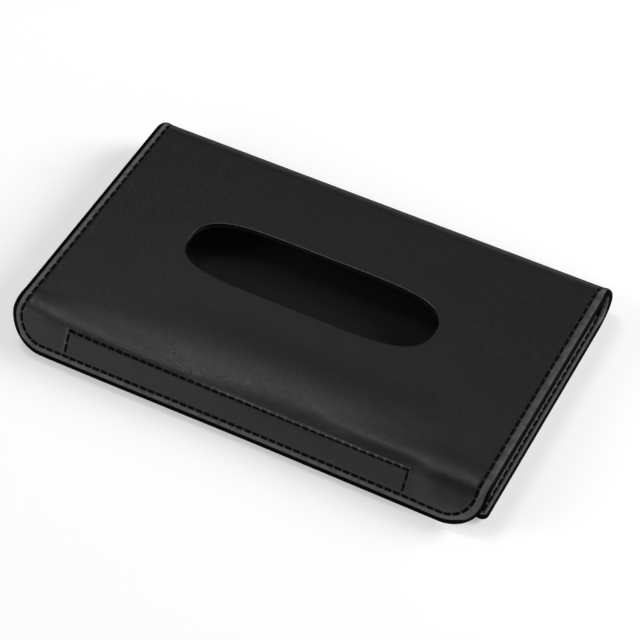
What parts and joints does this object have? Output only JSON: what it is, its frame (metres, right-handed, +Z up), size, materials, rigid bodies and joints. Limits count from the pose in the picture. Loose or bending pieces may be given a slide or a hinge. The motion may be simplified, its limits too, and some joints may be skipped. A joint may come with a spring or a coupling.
{
  "type": "car tissue holder",
  "caption": "Flat folded leather case with a tissue slot in its hinged flap, a sewn hook-and-loop front closure and elastic straps for a sun visor.",
  "frame": {"origin": "centre of the case's footprint, on the surface that its straps lie on", "axes": "+X along the long side, to the right when the sloping closure faces the viewer; +Y from the closure to the fold; +Z up through the flap"},
  "size_m": [0.23, 0.1434, 0.0203],
  "materials": {
    "leather": "black coated leather, fine grain, satin",
    "lining": "black plain-woven lining, matt",
    "board": "grey stiffening board",
    "thread": "black sewing thread",
    "hook_tape": "black hook tape",
    "loop_tape": "black loop tape, matt pile",
    "elastic": "black ribbed elastic webbing"
  },
  "bodies": {
    "back": {"back_skin": "leather", "back_board": "board", "back_lining": "lining", "back_edge_thread": "thread", "loop_tape": "loop_tape", "loop_tape_thread": "thread", "visor_strap_left": "elastic", "visor_strap_right": "elastic", "strap_tack_left_far": "thread", "strap_tack_left_near": "thread", "strap_tack_right_far": "thread", "strap_tack_right_near": "thread", "fold_skin": "leather", "fold_lining": "lining", "fold_thread_left": "thread", "fold_thread_right": "thread"},
    "flap": {"flap_skin": "leather", "flap_board": "board", "flap_lining": "lining", "flap_edge_thread": "thread", "hook_tape": "hook_tape", "closure_thread": "thread"}
  },
  "joints": [
    {"name": "flap_fold", "type": "hinge", "parent": "back", "child": "flap", "pos_m": [0, 0.07041, 0.01022], "axis": [-1, 0, 0], "range_deg": [0, 180], "deforming": ["fold_skin", "fold_lining", "fold_thread_left", "fold_thread_right"]}
  ]
}
